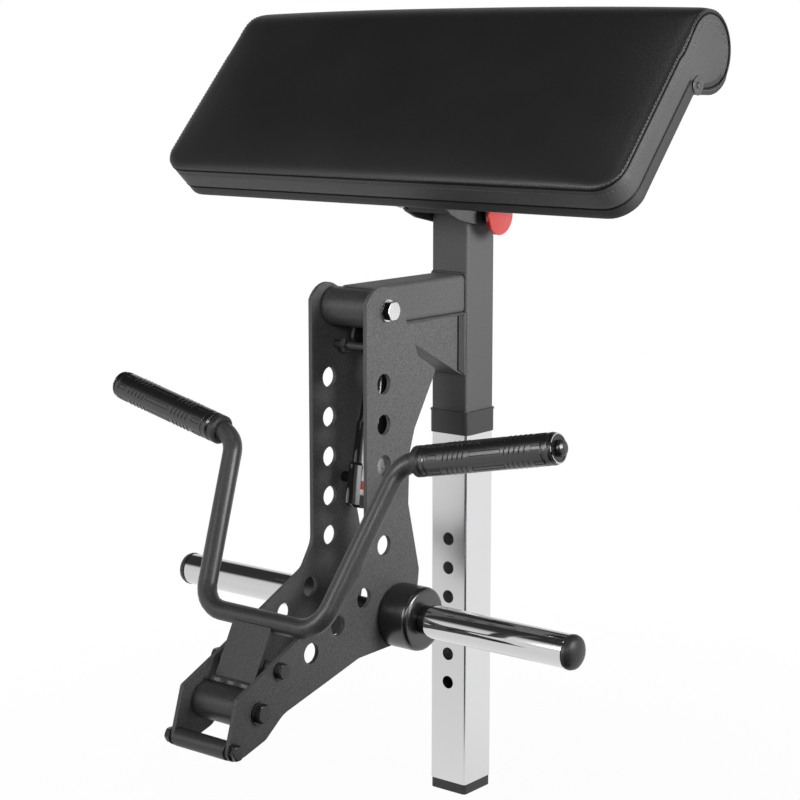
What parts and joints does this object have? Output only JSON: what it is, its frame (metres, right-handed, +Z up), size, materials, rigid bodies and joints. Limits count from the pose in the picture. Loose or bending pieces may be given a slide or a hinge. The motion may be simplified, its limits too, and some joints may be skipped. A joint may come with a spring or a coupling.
{
  "type": "biceps machine",
  "caption": "Plug-in biceps curl station: square post, tilting arm pad, swinging lever with weight horns, damper and two-handed grip bar.",
  "frame": {"origin": "centre of the underside of the cap at the foot of the post", "axes": "+Z up the post, -Y to the handle side, +X to the latch knob's side; X = 0 is the plane of symmetry of all but the latch"},
  "size_m": [0.7394, 0.5789, 1.0648],
  "materials": {
    "powder_coat": "fine textured black powder coat",
    "chrome": "polished chrome",
    "black_plastic": "moulded",
    "rubber": "satin",
    "leather": "grained synthetic leather",
    "zinc": "zinc plated",
    "black_steel": "blackened steel",
    "gloss_black": "gloss",
    "red_plastic": "gloss",
    "bronze": "sintered"
  },
  "bodies": {
    "stand": {"chrome_post": "chrome", "post_foot_cap": "black_plastic", "post_collar": "black_plastic", "upright_tube": "powder_coat", "front_arm": "powder_coat", "arm_gusset": "powder_coat", "pivot_tube": "powder_coat", "pivot_bush_left": "bronze", "pivot_bush_right": "bronze", "damper_pin": "zinc"},
    "pad": {"pad_bracket": "powder_coat", "pad_board": "leather", "pad_cushion": "leather", "pad_side_disc_left": "zinc", "pad_side_disc_right": "zinc", "pad_tilt_bolt": "zinc", "latch_barrel": "black_steel"},
    "latch": {"latch_pin": "zinc", "latch_knob": "red_plastic"},
    "lever": {"lever_plate_left": "powder_coat", "lever_plate_right": "powder_coat", "stop_bar": "zinc", "stop_spacer": "powder_coat", "foot_spacer": "powder_coat", "pivot_bolt": "zinc", "stop_spacer_bolt": "black_steel", "foot_spacer_bolt": "black_steel", "handle_pivot_bolt": "black_steel", "horn_axle": "black_steel", "horn_bumper_left": "rubber", "horn_bumper_right": "rubber", "horn_stub_left": "black_steel", "horn_stub_right": "black_steel", "horn_sleeve_left": "chrome", "horn_sleeve_right": "chrome", "horn_cap_left": "black_plastic", "horn_cap_right": "black_plastic"},
    "handle": {"handle_pivot_tube": "powder_coat", "handle_tab": "powder_coat", "handle_bar": "powder_coat", "grip_collar_left": "black_plastic", "grip_collar_right": "black_plastic", "grip_end_bolt_left": "black_steel", "grip_end_bolt_right": "black_steel"},
    "grip_left": {"rubber_grip_left": "rubber"},
    "grip_right": {"rubber_grip_right": "rubber"},
    "damper_stem": {"damper_rod": "chrome"},
    "damper_body": {"damper_cylinder": "gloss_black"}
  },
  "joints": [
    {"name": "lever_swing", "type": "hinge", "parent": "stand", "child": "lever", "pos_m": [0, -0.22, 0.6955], "axis": [-1, 0, 0], "range_deg": [0, 95]},
    {"name": "damper_swing", "type": "hinge", "parent": "stand", "child": "damper_stem", "pos_m": [0, -0.165, 0.643], "axis": [-1, 0, 0], "range_deg": [0, 93]},
    {"name": "damper_stroke", "type": "slide", "parent": "damper_stem", "child": "damper_body", "axis": [0, -0.1983, -0.9801], "range_m": [0, 0.113]},
    {"name": "handle_swivel", "type": "hinge", "parent": "lever", "child": "handle", "pos_m": [0, -0.463, 0.237], "axis": [1, 0, 0], "range_deg": [0, 90]},
    {"name": "grip_spin_left", "type": "hinge", "parent": "handle", "child": "grip_left", "pos_m": [-0.355, -0.2908, 0.5697], "axis": [-0.9795, 0.0542, 0.1941], "continuous": true},
    {"name": "grip_spin_right", "type": "hinge", "parent": "handle", "child": "grip_right", "pos_m": [0.355, -0.2908, 0.5697], "axis": [0.9795, 0.0542, 0.1941], "continuous": true},
    {"name": "pad_tilt", "type": "hinge", "parent": "stand", "child": "pad", "pos_m": [0, 0, 0.85], "axis": [1, 0, 0], "range_deg": [-15, 15]},
    {"name": "latch_pull", "type": "slide", "parent": "pad", "child": "latch", "axis": [1, 0, 0], "range_m": [-0.006, 0]}
  ],
  "couplings": [
    {"joint": "damper_swing", "follows": "lever_swing", "ratio": 0.97},
    {"joint": "damper_stroke", "follows": "lever_swing", "m_per_rad": 0.0674}
  ]
}
